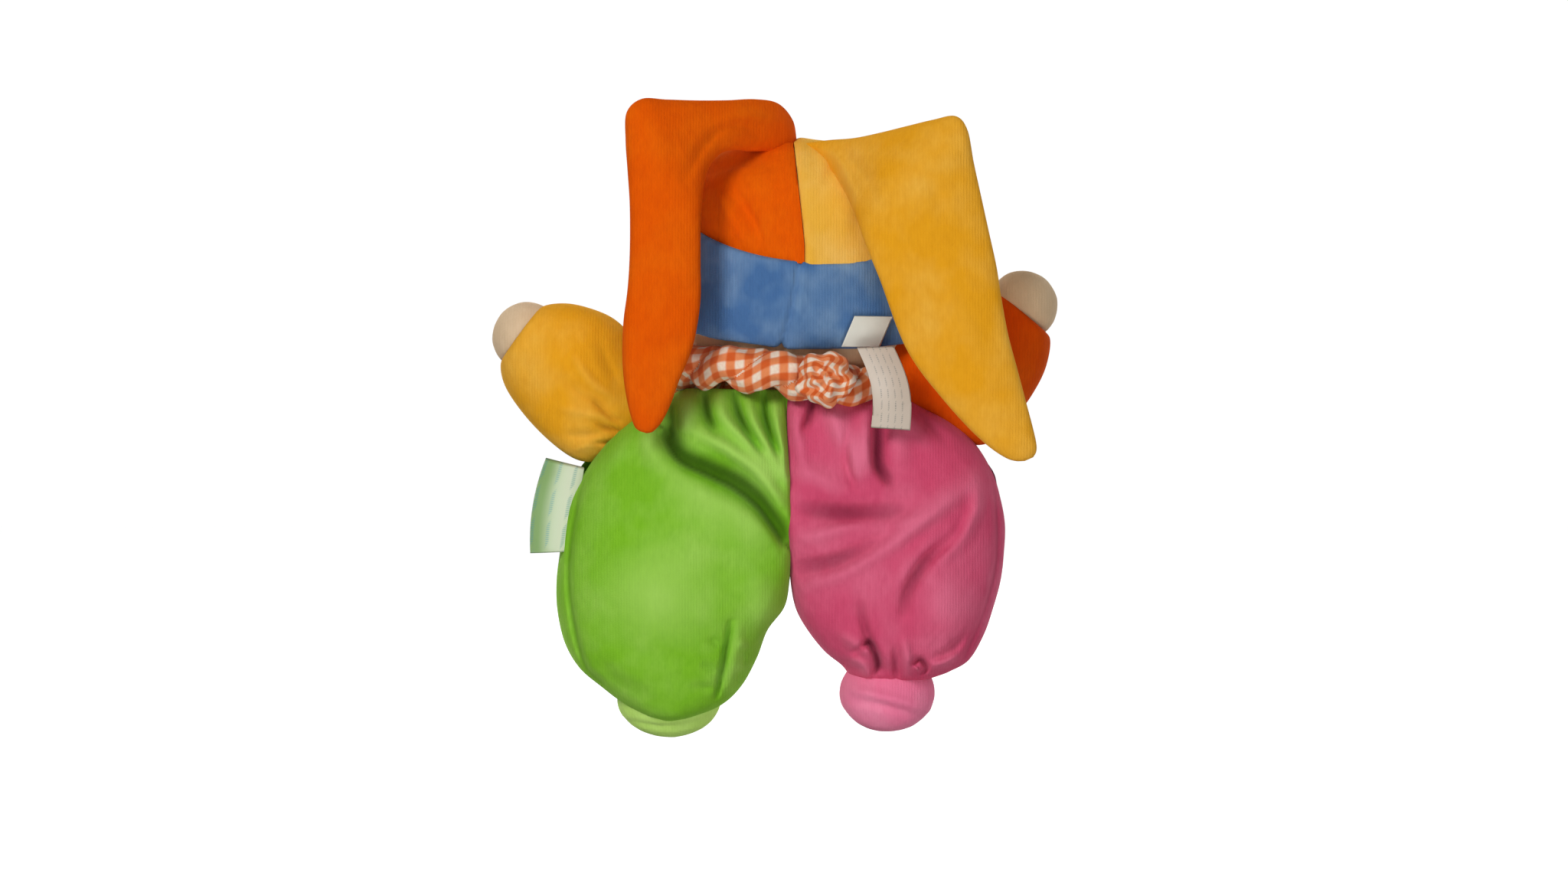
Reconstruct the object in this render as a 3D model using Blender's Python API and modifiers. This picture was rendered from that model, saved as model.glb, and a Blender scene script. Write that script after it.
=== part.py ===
"""Jester hand puppet, held upright on a hand: +Z up, its back towards -Y, its face towards +Y.

The origin is where the two trouser halves meet, at the foot of the hand pocket. Every length below
is in millimetres, and MM turns it into Blender's metres.
"""

import math

import bmesh
import bpy
from mathutils import Matrix, Vector

MM = 0.001
SKIN = 1.6          # pile fabric with its backing
FINE_GAP = 0.3      # room between pieces that lie against each other

HEAD_CENTRE = Vector((4, 0, 160))
HEAD_RADII = Vector((50, 37, 51))
CROWN_RADII = HEAD_RADII + Vector((3.2, 3.2, 4.6))
BAND_RADII = HEAD_RADII + Vector((5.2, 5.0, 5.6))
HAT_SEAM_X = 3.0
BAND_FOOT = Vector((0, -29, 117))
BAND_TOP = Vector((0, -43, 159))
BAND_NORMAL = Vector((0.1, -0.5, 1)).normalized()

ORANGE_FOLD = Vector((-59, -53, 206))
YELLOW_FOLD = Vector((54, -54, 214))

WAIST_Z = 34        # lower edge of the back panels
HEM_Z = 52          # lower edge of the front panels, over the hand's way in
NECKLINE_Z = 90
HIP_Z = 28
POCKET_HALF = (36, 22)
LABEL_THICK = 0.8
SEAM_ROOM = 1.0     # each panel stops this far from the side seam's plane

ORANGE = (0.75, 0.10, 0.003)
DARK_ORANGE = (0.45, 0.045, 0.002)
YELLOW = (0.74, 0.37, 0.02)
BLUE = (0.08, 0.17, 0.33)
GREEN = (0.21, 0.47, 0.03)
PINK = (0.55, 0.08, 0.16)
BODY_TONE = (0.62, 0.44, 0.28)
WHITE = (0.75, 0.73, 0.68)
CHECK = (0.75, 0.30, 0.14)
THREAD = (0.6, 0.55, 0.45)
BROWN = (0.10, 0.05, 0.03)
RED = (0.45, 0.05, 0.05)


# ---------------------------------------------------------------- helpers

def clear_scene():
    for obj in list(bpy.data.objects):
        bpy.data.objects.remove(obj)


def material(name, colour, roughness=0.9):
    found = bpy.data.materials.get(name)
    if found:
        return found
    made = bpy.data.materials.new(name)
    made.use_nodes = True
    shader = made.node_tree.nodes["Principled BSDF"]
    shader.inputs["Base Color"].default_value = (*colour, 1)
    shader.inputs["Roughness"].default_value = roughness
    shader.inputs["Metallic"].default_value = 0
    return made


def add_piece(name, bm, colour, origin=(0, 0, 0), smooth=True):
    """Turn a mesh in millimetres into a named piece whose object origin is at its joint or centre."""
    origin = Vector(origin)
    bmesh.ops.translate(bm, verts=bm.verts, vec=-origin)
    bmesh.ops.scale(bm, verts=bm.verts, vec=(MM, MM, MM))
    mesh = bpy.data.meshes.new(name)
    bm.to_mesh(mesh)
    bm.free()
    if smooth:
        mesh.shade_smooth()
    obj = bpy.data.objects.new(name, mesh)
    obj.location = origin * MM
    mesh.materials.append(material(name + "_fabric", colour))
    parts.objects.link(obj)
    return obj


def give_wall(obj, thickness=SKIN):
    """Give an open surface its wall, on its inner side."""
    wall = obj.modifiers.new("wall", "SOLIDIFY")
    wall.thickness = thickness * MM
    wall.offset = -1
    return obj


def add_ring(bm, centre, side, up, half_side, half_up, segments):
    """One ellipse of a tube, in the plane of `side` and `up`."""
    frame = Matrix((side, up, side.cross(up))).transposed().to_4x4()
    place = Matrix.Translation(centre) @ frame @ Matrix.Diagonal((half_side, half_up, 1, 1))
    return bmesh.ops.create_circle(bm, segments=segments, radius=1, matrix=place)["verts"]


def bridge_rings(bm, rings, closed=False):
    """Joins each ring to the next, and the last to the first where the tube is a closed loop."""
    followers = rings[1:] + rings[:1] if closed else rings[1:]
    for lower, upper in zip(rings, followers):
        edges = [e for e in bm.edges if ring_edge(e, lower) or ring_edge(e, upper)]
        bmesh.ops.bridge_loops(bm, edges=edges)


def ring_edge(edge, ring):
    return edge.verts[0] in ring and edge.verts[1] in ring


def loft(stations, across, segments=16, close_start=True, close_end=True):
    """A soft tube: rings of (centre, half width, half depth), whose width runs along `across`."""
    bm = bmesh.new()
    forward = Vector((0, 1, 0))
    rings = [add_ring(bm, c, Vector(across), forward, w, d, segments) for c, w, d in stations]
    bridge_rings(bm, rings)
    for ring, closed in ((rings[0], close_start), (rings[-1], close_end)):
        if closed:
            bm.faces.new(ring)
    bmesh.ops.recalc_face_normals(bm, faces=bm.faces)
    return bm


def ball(centre, radii, columns=20, rows=12):
    """An ellipsoid standing on its own pole."""
    bm = bmesh.new()
    bmesh.ops.create_uvsphere(bm, u_segments=columns, v_segments=rows, radius=1)
    bmesh.ops.scale(bm, verts=bm.verts, vec=radii)
    bmesh.ops.translate(bm, verts=bm.verts, vec=centre)
    return bm


def cut_away(bm, point, normal):
    """Remove what lies on the side that the normal points to."""
    everything = bm.verts[:] + bm.edges[:] + bm.faces[:]
    bmesh.ops.bisect_plane(bm, geom=everything, plane_co=point, plane_no=normal, clear_outer=True)
    return bm


def inset_stations(stations, margin):
    """The same soft tube, smaller by `margin` all round, with its ends drawn in."""
    shrunk = [(c, max(w - margin, 2), max(d - margin, 2)) for c, w, d in stations]
    first, second = shrunk[0], shrunk[1]
    last, before = shrunk[-1], shrunk[-2]
    shrunk[0] = (first[0].lerp(second[0], 0.4), first[1] * 0.8, first[2] * 0.8)
    shrunk[-1] = (last[0].lerp(before[0], 0.4), last[1] * 0.8, last[2] * 0.8)
    return shrunk


def point_on_ball(radii, x, z, toward_back=True):
    """The point of the head's concentric ellipsoid above (x, z), on its back or its face side."""
    dx = (x - HEAD_CENTRE.x) / radii.x
    dz = (z - HEAD_CENTRE.z) / radii.z
    depth = radii.y * math.sqrt(max(1 - dx * dx - dz * dz, 0))
    return Vector((x, -depth if toward_back else depth, z))


# ---------------------------------------------------------------- head and hat

def make_head():
    skin = ball(HEAD_CENTRE, HEAD_RADII, 20, 12)
    cut_away(skin, (0, 0, HEAD_CENTRE.z - HEAD_RADII.z + 2.5), (0, 0, -1))
    give_wall(add_piece("head_skin", skin, BODY_TONE, HEAD_CENTRE))
    inner = HEAD_RADII - Vector((1, 1, 1)) * (SKIN + 1.0)
    add_piece("head_stuffing", ball(HEAD_CENTRE, inner, 20, 12), WHITE, HEAD_CENTRE)


def make_face():
    """Plain stitched features: two round eyes, a button nose and a small mouth."""
    for name, x, z, radii, colour in (
        ("left_eye", -9, 142, (3.2, 1.0, 3.8), BROWN),
        ("right_eye", 17, 142, (3.2, 1.0, 3.8), BROWN),
        ("nose", 4, 135, (4.2, 3.0, 3.8), RED),
        ("mouth", 4, 127, (7.0, 0.9, 1.4), RED),
    ):
        place = point_on_ball(HEAD_RADII, x, z, toward_back=False)
        from_centre = place - HEAD_CENTRE
        out = Vector([from_centre[i] / HEAD_RADII[i] ** 2 for i in range(3)]).normalized()
        patch = ball((0, 0, 0), radii, 12, 6)
        turn = Vector((0, 1, 0)).rotation_difference(out).to_matrix()
        bmesh.ops.rotate(patch, verts=patch.verts, matrix=turn)
        bmesh.ops.translate(patch, verts=patch.verts, vec=place + out * (radii[1] + 0.9))
        add_piece(name, patch, colour, place)


def make_crown():
    for name, side, colour in (
        ("hat_crown_orange", 1, ORANGE),
        ("hat_crown_yellow", -1, YELLOW),
    ):
        panel = ball(HEAD_CENTRE, CROWN_RADII, 24, 14)
        cut_away(panel, (HAT_SEAM_X - side * FINE_GAP / 2, 0, 0), (side, 0, 0))
        cut_away(panel, BAND_TOP + BAND_NORMAL * 1.2, -BAND_NORMAL)
        give_wall(add_piece(name, panel, colour, HEAD_CENTRE), 2.2)


def make_band():
    band = ball(HEAD_CENTRE, BAND_RADII, 28, 16)
    cut_away(band, BAND_TOP, BAND_NORMAL)
    cut_away(band, BAND_FOOT, -BAND_NORMAL)
    give_wall(add_piece("hat_band", band, BLUE, HEAD_CENTRE), 3.0)


def make_band_label():
    """A blank label lying on the band beside its back seam."""
    bm = bmesh.new()
    bmesh.ops.create_grid(bm, x_segments=4, y_segments=3, size=1)
    lifted = BAND_RADII + Vector((1, 1, 1)) * (1.1 + LABEL_THICK)
    for v in bm.verts:
        x = 36.5 + v.co.x * 8.5 + v.co.y * 2.6
        z = 127 + v.co.y * 6.5
        v.co = point_on_ball(lifted, x, z)
    bmesh.ops.recalc_face_normals(bm, faces=bm.faces)
    if bm.faces[:][0].normal.y > 0:
        bmesh.ops.reverse_faces(bm, faces=bm.faces)
    give_wall(add_piece("band_label", bm, WHITE, (36.5, -30, 127), smooth=False), LABEL_THICK)


def make_hat_points():
    """Each long point is a sewn foot on the crown and a hanging length that flops at its fold."""
    foot = [
        (Vector((-4, -8, 218.8)), 5, 5),
        (Vector((-8, -14, 224)), 9, 7.5),
        (Vector((-20, -25, 226)), 9.5, 8),
        (Vector((-36, -37, 224.5)), 10.5, 8),
        (Vector((-52, -47, 222)), 11.5, 7.5),
        (Vector((-66, -51, 219)), 11, 6.5),
        (Vector((-73, -52, 216)), 5, 3),
    ]
    add_piece("orange_point_foot", loft_along(foot, 12), ORANGE, foot[0][0])
    hanging = [
        (Vector((-59, -53, 206)), 9, 3.5),
        (Vector((-59, -53, 200)), 16.5, 6.5),
        (Vector((-58, -53, 180)), 17, 7),
        (Vector((-58, -53, 163)), 16.6, 7),
        (Vector((-60, -53, 130)), 17, 7),
        (Vector((-63.4, -52, 105)), 13, 6.5),
        (Vector((-65.5, -51, 89)), 8.5, 5),
        (Vector((-67, -50.5, 81)), 4, 3),
    ]
    add_piece("orange_point", loft(hanging, (1, 0, 0), 14), ORANGE, ORANGE_FOLD)
    foot = [
        (Vector((23, -28.8, 205)), 7, 4.2),
        (Vector((33, -36, 210)), 10, 5),
        (Vector((50, -41.5, 212)), 11, 5),
        (Vector((68, -43, 213)), 9, 4.5),
        (Vector((78, -43, 213)), 4, 2.5),
    ]
    add_piece("yellow_point_foot", loft_along(foot, 12), YELLOW, foot[0][0])
    hanging = [
        (Vector((54, -56.5, 217)), 26, 2.5),
        (Vector((53, -57, 211)), 31.5, 6),
        (Vector((60, -57, 184)), 30, 6.5),
        (Vector((68, -57, 157)), 29, 6.5),
        (Vector((76.7, -57, 126)), 26, 6.5),
        (Vector((84.8, -57, 105.5)), 21.8, 6.5),
        (Vector((93, -57, 89)), 17.6, 6),
        (Vector((103, -57, 73)), 10.5, 5),
        (Vector((107, -57, 66)), 4.5, 3),
    ]
    add_piece("yellow_point", loft(hanging, (1, 0, 0), 14), YELLOW, YELLOW_FOLD)


def loft_along(stations, segments):
    """A soft tube whose rings stand square to its run, as seen from behind."""
    bm = bmesh.new()
    rings = []
    centres = [s[0] for s in stations]
    forward = Vector((0, 1, 0))
    for i, (centre, width, depth) in enumerate(stations):
        run = centres[min(i + 1, len(centres) - 1)] - centres[max(i - 1, 0)]
        run.y = 0
        side = forward.cross(run.normalized())
        rings.append(add_ring(bm, centre, side, forward, width, depth, segments))
    bridge_rings(bm, rings)
    for ring in (rings[0], rings[-1]):
        bm.faces.new(ring)
    bmesh.ops.recalc_face_normals(bm, faces=bm.faces)
    return bm


# ---------------------------------------------------------------- neck, scarf and labels

def make_neck():
    neck = [
        (Vector((4, 0, 91.5)), 13, 10),
        (Vector((3, 0, 96)), 16, 12.5),
        (Vector((4, 0, 104)), 16, 12.5),
        (Vector((4, 0, 107.5)), 12, 9),
    ]
    add_piece("neck_plug", loft(neck, (1, 0, 0), 14), BODY_TONE, (4, 0, 100))


def scarf_centre(angle):
    x = -4 + 46 * math.cos(angle)
    y = 33 * math.sin(angle)
    return Vector((x, y, 101 - 0.12 * x - 0.12 * y))


def make_scarf():
    """A twisted roll all round the neck, its knot at the back and its triangle in front."""
    turns = 28
    radius = 8
    bm = bmesh.new()
    rings = []
    for i in range(turns):
        angle = math.tau * i / turns
        centre = scarf_centre(angle)
        outward = Vector((math.cos(angle) / 46, math.sin(angle) / 33, 0)).normalized()
        rings.append(add_ring(bm, centre, outward, Vector((0, 0, 1)), radius, radius, 10))
    bridge_rings(bm, rings, closed=True)
    bmesh.ops.recalc_face_normals(bm, faces=bm.faces)
    add_piece("neckerchief_roll", bm, CHECK, scarf_centre(math.pi / 2))
    knot = ball((17, -43.9, 103), (11.4, 5.2, 11.4), 16, 10)
    add_piece("neckerchief_knot", knot, CHECK, (17, -43.9, 103))
    triangle = [
        (Vector((0, 37, 86)), 30, 1.2),
        (Vector((0, 38, 78)), 26, 1.2),
        (Vector((0, 38, 66)), 14, 1.2),
        (Vector((0, 38, 58)), 3, 1.0),
    ]
    add_piece("neckerchief_triangle", loft(triangle, (1, 0, 0), 12), CHECK, (0, 38, 74))


def make_flat_label(name, hinge, length, width, run, across):
    """A woven label: a thin strip from its sewn edge along `run`."""
    run, across = Vector(run).normalized(), Vector(across).normalized()
    normal = run.cross(across)
    bm = bmesh.new()
    bmesh.ops.create_cube(bm, size=1)
    frame = Matrix((run, across, normal)).transposed().to_4x4()
    place = Matrix.Translation(Vector(hinge) + run * (length / 2 + FINE_GAP)) @ frame
    size = Matrix.Diagonal((length, width, LABEL_THICK, 1))
    bmesh.ops.transform(bm, matrix=place @ size, verts=bm.verts)
    bmesh.ops.recalc_face_normals(bm, faces=bm.faces)
    add_piece(name, bm, WHITE, hinge, smooth=False)


# ---------------------------------------------------------------- romper and hand pocket

def body_edge(z, side):
    """Distance of the romper's side seam from the middle, at height z."""
    left = ((34, 106), (45, 105), (60, 95), (75, 84), (85, 73), (90, 62))
    right = ((34, 103), (45, 102), (60, 96), (75, 86), (85, 75), (90, 63))
    table = left if side < 0 else right
    for (z0, w0), (z1, w1) in zip(table, table[1:]):
        if z <= z1:
            return w0 + (w1 - w0) * (z - z0) / (z1 - z0)
    return table[-1][1]


def body_depth(z):
    """Half the romper's thickness at its middle, at height z."""
    return 30 - 8 * ((z - 50) / 40) ** 2 if z > 50 else 30


def make_panel(name, side, toward, colour):
    """One quarter of the romper's body, from its side seam to its middle seam."""
    low = WAIST_Z if toward < 0 else HEM_Z
    high = NECKLINE_Z if toward < 0 else NECKLINE_Z - 4
    bm = bmesh.new()
    bmesh.ops.create_grid(bm, x_segments=9, y_segments=6, size=1)
    for v in bm.verts:
        z = low + (high - low) * (v.co.y + 1) / 2
        turn = (v.co.x + 1) / 2
        depth = body_depth(z)
        start = math.asin(SEAM_ROOM / depth)
        angle = start + (math.pi / 2 - start) * turn
        x = side * max(body_edge(z, side) * math.cos(angle), FINE_GAP)
        v.co = Vector((x, toward * depth * math.sin(angle), z))
    bmesh.ops.recalc_face_normals(bm, faces=bm.faces)
    outward = sum(f.normal.y * toward for f in bm.faces)
    if outward < 0:
        bmesh.ops.reverse_faces(bm, faces=bm.faces)
    give_wall(add_piece(name, bm, colour, (side * 50, toward * 20, 60)))


def make_padding(name, side):
    """Loose stuffing beside the hand pocket."""
    stations = [
        (Vector((side * 68, 0, 40)), 18, 10),
        (Vector((side * 69, 0, 48)), 24, 17),
        (Vector((side * 65, 0, 60)), 22, 18),
        (Vector((side * 59, 0, 72)), 16, 15),
        (Vector((side * 54, 0, 79)), 9, 9),
    ]
    add_piece(name, loft(stations, (1, 0, 0), 12), WHITE, (side * 64, 0, 60))


def make_pocket():
    """The lining that the hand goes into: a flat sock, closed towards the neck."""
    wide, deep = POCKET_HALF
    stations = [
        (Vector((0, 0, 36)), wide, deep),
        (Vector((0, 0, 55)), wide, deep),
        (Vector((0, 0, 70)), wide - 2, deep - 1),
        (Vector((0, 0, 80)), wide - 8, deep - 4),
        (Vector((0, 0, 86)), wide - 18, deep - 10),
    ]
    lining = loft(stations, (1, 0, 0), 20, close_start=False)
    cut_away(lining, (0, 0, 45), (0, 0.32, -1))
    give_wall(add_piece("pocket_lining", lining, WHITE, (0, 0, 38)), 1.0)


# ---------------------------------------------------------------- arms and legs

LEFT_ARM = {
    "name": "yellow", "hand": "left_hand", "colour": YELLOW, "root": Vector((-82, 0, 80)),
    "out": Vector((-0.76, 0, 0.65)), "along": Vector((0.65, 0, 0.76)), "scale": 1.0, "drift": 0.10,
}
RIGHT_ARM = {
    "name": "orange", "hand": "right_hand", "colour": DARK_ORANGE, "root": Vector((75, 0, 95)),
    "out": Vector((0.79, 0, 0.61)), "along": Vector((-0.61, 0, 0.79)), "scale": 0.90, "drift": 0.17,
}
ARM_SHAPE = (
    (5, 10, 6), (9, 22, 12), (18, 31, 18), (30, 34, 21), (42, 33, 21), (52, 27, 20), (58, 20, 18.5),
)
HAND_AT = 62
HAND_RADIUS = 16


def arm_point(arm, distance):
    reach = distance * arm["scale"]
    return arm["root"] + arm["out"] * reach + arm["along"] * (reach * arm["drift"])


def make_arm(arm):
    """A padded sleeve closed at the shoulder, with the hand seated in its open cuff."""
    stations = [(arm_point(arm, d), w, h) for d, w, h in ARM_SHAPE]
    sleeve = loft(stations, arm["along"], 18, close_end=False)
    give_wall(add_piece(arm["name"] + "_sleeve", sleeve, arm["colour"], arm["root"]))
    filling = inset_stations(stations[1:-2], SKIN + 1.4)
    add_piece(arm["name"] + "_sleeve_stuffing", loft(filling, arm["along"], 18), WHITE, arm["root"])
    centre = arm_point(arm, HAND_AT)
    radius = HAND_RADIUS
    hand = ball(centre, (radius, radius, radius), 16, 10)
    cut_away(hand, centre - arm["out"] * 9, -arm["out"])
    give_wall(add_piece(arm["hand"], hand, BODY_TONE, centre), 1.2)
    inner = radius - 2.2
    stuffing = ball(centre, (inner, inner, inner), 16, 10)
    add_piece(arm["hand"] + "_stuffing", stuffing, WHITE, centre)
    make_thread(arm["name"] + "_cuff_thread", arm_point(arm, 55.5), arm["out"], arm["along"], 17.2, 16.2)


def make_thread(name, centre, axis, along, wide, deep):
    """A gathering thread: a thin ring inside the cuff."""
    bm = bmesh.new()
    turns = 20
    rings = []
    side = Vector((0, 1, 0))
    for i in range(turns):
        angle = math.tau * i / turns
        outward = along * math.cos(angle) + side * math.sin(angle)
        place = centre + along * (wide * math.cos(angle)) + side * (deep * math.sin(angle))
        rings.append(add_ring(bm, place, outward, axis, 0.35, 0.35, 6))
    bridge_rings(bm, rings, closed=True)
    bmesh.ops.recalc_face_normals(bm, faces=bm.faces)
    add_piece(name, bm, THREAD, centre)


GREEN_LEG = {
    "name": "green", "colour": GREEN,
    "shape": ((-52, 27, 38, 4), (-54, 22, 49, 14), (-55.5, 10, 53, 24), (-58, -5, 50, 28),
              (-59, -20, 45, 27), (-58, -32, 35, 24), (-56, -40, 26, 21.5)),
    "foot": Vector((-57, 2, -49)), "foot_radii": (24, 20, 17),
}
PINK_LEG = {
    "name": "pink", "colour": PINK,
    "shape": ((52, 27, 38, 4), (52.5, 22, 48, 14), (52, 10, 49.5, 24), (51.5, -5, 45, 27),
              (50, -16, 39, 26), (48, -25, 31, 23), (47, -32, 25, 20.5)),
    "foot": Vector((47, 1, -43.5)), "foot_radii": (23, 19, 19),
}


def make_leg(leg):
    """A ballooned trouser leg closed at the hip, with the foot seated in its gathered ankle."""
    stations = [(Vector((x, 0, z)), w, h) for x, z, w, h in leg["shape"]]
    trouser = loft(stations, (1, 0, 0), 20, close_end=False)
    hip = Vector((stations[0][0].x, 0, HIP_Z))
    give_wall(add_piece(leg["name"] + "_leg", trouser, leg["colour"], hip))
    filling = inset_stations(stations[1:-2], SKIN + 1.4)
    add_piece(leg["name"] + "_leg_stuffing", loft(filling, (1, 0, 0), 20), WHITE, hip)
    foot = ball(leg["foot"], leg["foot_radii"], 16, 10)
    top = leg["foot"] + Vector((0, 0, leg["foot_radii"][2] * 0.8))
    cut_away(foot, top, (0, 0, 1))
    give_wall(add_piece(leg["name"] + "_foot", foot, leg["colour"], leg["foot"]))
    inner = [r - SKIN - 1.0 for r in leg["foot_radii"]]
    inner[2] *= 0.92
    add_piece(leg["name"] + "_foot_stuffing", ball(leg["foot"], inner, 16, 10), WHITE, leg["foot"])
    ankle, wide, deep = stations[-1]
    lifted = ankle + Vector((0, 0, 1.6))
    up, along = Vector((0, 0, 1)), Vector((1, 0, 0))
    make_thread(leg["name"] + "_ankle_thread", lifted, up, along, wide - 2.4, deep - 2.4)


# ---------------------------------------------------------------- the puppet

clear_scene()
parts = bpy.data.collections.new("hand_puppet")
bpy.context.scene.collection.children.link(parts)

make_head()
make_face()
make_crown()
make_band()
make_band_label()
make_hat_points()
make_neck()
make_scarf()
make_flat_label("care_label", (41.6, -37, 118), 38, 18, (6.6, -9, -37), (1, 0, 0.18))
make_flat_label("side_label", (-107.5, 0, 45), 19, 32, (-1, 0, -0.12), (-0.12, 0, 1))
for panel_side, panel_name, panel_colour in ((-1, "green", GREEN), (1, "pink", PINK)):
    make_panel("romper_" + panel_name + "_back", panel_side, -1, panel_colour)
    make_panel("romper_" + panel_name + "_front", panel_side, 1, panel_colour)
make_padding("body_padding_left", -1)
make_padding("body_padding_right", 1)
make_pocket()
for limb in (LEFT_ARM, RIGHT_ARM):
    make_arm(limb)
for limb in (GREEN_LEG, PINK_LEG):
    make_leg(limb)
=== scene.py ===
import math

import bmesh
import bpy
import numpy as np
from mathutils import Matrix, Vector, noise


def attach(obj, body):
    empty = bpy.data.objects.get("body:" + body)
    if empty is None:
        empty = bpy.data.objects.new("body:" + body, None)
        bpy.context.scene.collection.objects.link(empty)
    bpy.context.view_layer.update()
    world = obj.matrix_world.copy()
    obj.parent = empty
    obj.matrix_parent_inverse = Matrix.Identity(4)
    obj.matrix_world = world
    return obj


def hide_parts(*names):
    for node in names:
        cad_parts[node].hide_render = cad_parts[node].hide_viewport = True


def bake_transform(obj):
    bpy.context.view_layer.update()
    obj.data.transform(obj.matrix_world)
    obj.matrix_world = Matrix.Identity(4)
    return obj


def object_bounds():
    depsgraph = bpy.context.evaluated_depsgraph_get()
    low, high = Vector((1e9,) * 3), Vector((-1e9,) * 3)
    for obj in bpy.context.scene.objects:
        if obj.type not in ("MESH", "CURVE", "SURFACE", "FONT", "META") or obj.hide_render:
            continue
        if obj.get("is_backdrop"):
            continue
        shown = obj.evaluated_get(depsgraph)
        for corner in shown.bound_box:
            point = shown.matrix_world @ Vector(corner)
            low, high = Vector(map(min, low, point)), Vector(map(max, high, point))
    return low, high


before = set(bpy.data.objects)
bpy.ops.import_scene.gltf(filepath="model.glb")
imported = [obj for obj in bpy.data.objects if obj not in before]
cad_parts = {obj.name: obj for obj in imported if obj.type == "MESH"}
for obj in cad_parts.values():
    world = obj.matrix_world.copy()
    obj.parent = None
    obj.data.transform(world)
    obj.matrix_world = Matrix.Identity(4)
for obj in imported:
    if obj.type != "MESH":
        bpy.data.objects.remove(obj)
cad_low, cad_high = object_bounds()

# %% [markdown]
# # A jester hand puppet in velour
# The frame above is the working puppet: its bodies, joints and plain solids, in metres, with +Z up and
# its back towards -Y. This lesson sews the real cloth round it, one piece at a time: velour romper, hat
# and sleeves, a check neckerchief, satin labels and embroidery. A piece that covers a plain solid replaces
# it, and rides on the body that carries it, or stays fixed where it is built.

MM = 0.001
scene = bpy.context.scene
print("CAD box, mm:", [round(v / MM, 1) for v in (*cad_low, *cad_high)])

# %% [markdown]
# ## Studio
# A soft toy shows its folds only if light comes more from one side than from another. So the white
# surroundings are seen by the camera and light nothing, and large soft lamps do all the lighting: a key
# high on the left, a wide fill behind the camera, and weaker ones in front of the face, above and below.

# %% The camera, level and straight on
VIEW_CENTRE = Vector((-0.0022, 0, 0.0747))
VIEW_WIDTH = 0.7373
BACK_OF_TOY = Vector((0, -0.03, 0))
camera_data = bpy.data.cameras.new("camera")
camera = bpy.data.objects.new("camera", camera_data)
scene.collection.objects.link(camera)
camera_data.lens = 110
camera_data.sensor_width = 36
camera_data.clip_end = 50
distance = VIEW_WIDTH * camera_data.lens / camera_data.sensor_width
camera.location = VIEW_CENTRE + BACK_OF_TOY + Vector((0, -distance, 0))
camera.rotation_euler = (math.radians(90), 0, 0)
scene.camera = camera
print("camera stands", round(distance, 2), "m away")

# %% White surroundings and floor
WHITE = (1, 1, 1, 1)
FLOOR_RADIUS, FLOOR_GAP = 6, 3 * MM
world = bpy.data.worlds.new("studio")
world.use_nodes = True
world.node_tree.nodes["Background"].inputs["Color"].default_value = WHITE
world.node_tree.nodes["Background"].inputs["Strength"].default_value = 1.02
world.cycles_visibility.diffuse = False
world.cycles_visibility.glossy = False
scene.world = world
scene.view_settings.view_transform = "Standard"
bm = bmesh.new()
bmesh.ops.create_circle(bm, cap_ends=True, segments=96, radius=FLOOR_RADIUS)
bmesh.ops.translate(bm, verts=bm.verts, vec=(0, 0, cad_low[2] - FLOOR_GAP))
mesh = bpy.data.meshes.new("floor")
bm.to_mesh(mesh)
bm.free()
floor = bpy.data.objects.new("floor", mesh)
scene.collection.objects.link(floor)
pale = bpy.data.materials.new("pale_floor")
pale.use_nodes = True
paint = pale.node_tree.nodes["Principled BSDF"].inputs
paint["Base Color"].default_value = (0.35, 0.35, 0.35, 1)
paint["Roughness"].default_value = 0.9
paint["Specular IOR Level"].default_value = 0.0
paint["Emission Color"].default_value = WHITE
paint["Emission Strength"].default_value = 1.0
mesh.materials.append(pale)
floor.visible_diffuse = False
floor.visible_shadow = False
floor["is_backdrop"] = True
print("floor lies at z =", round((cad_low[2] - FLOOR_GAP) / MM, 1), "mm")

# %% Soft lamps: place in metres, width and power
LAMPS = (
    ("key", (-0.9, -1.7, 0.9), 0.7, 25), ("fill", (0.5, -3.2, -0.2), 3.0, 28),
    ("back_left", (-1.5, 1.6, 0.8), 1.6, 24), ("back_right", (1.6, 1.4, 0.5), 1.6, 24),
    ("front", (-0.4, 3.0, 0.4), 2.6, 26), ("above", (0, 0, 2.2), 2.0, 15),
    ("below", (0.3, -1.3, -1.1), 1.4, 14),
)
for name, place, size, power in LAMPS:
    data = bpy.data.lights.new(name, "AREA")
    data.shape = "DISK"
    data.size = size
    data.energy = power
    lamp = bpy.data.objects.new(name, data)
    lamp.location = place
    lamp.rotation_euler = (VIEW_CENTRE - Vector(place)).to_track_quat("-Z", "Y").to_euler()
    lamp.visible_camera = False
    scene.collection.objects.link(lamp)
print("lamps:", [name for name, *_ in LAMPS])
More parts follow.
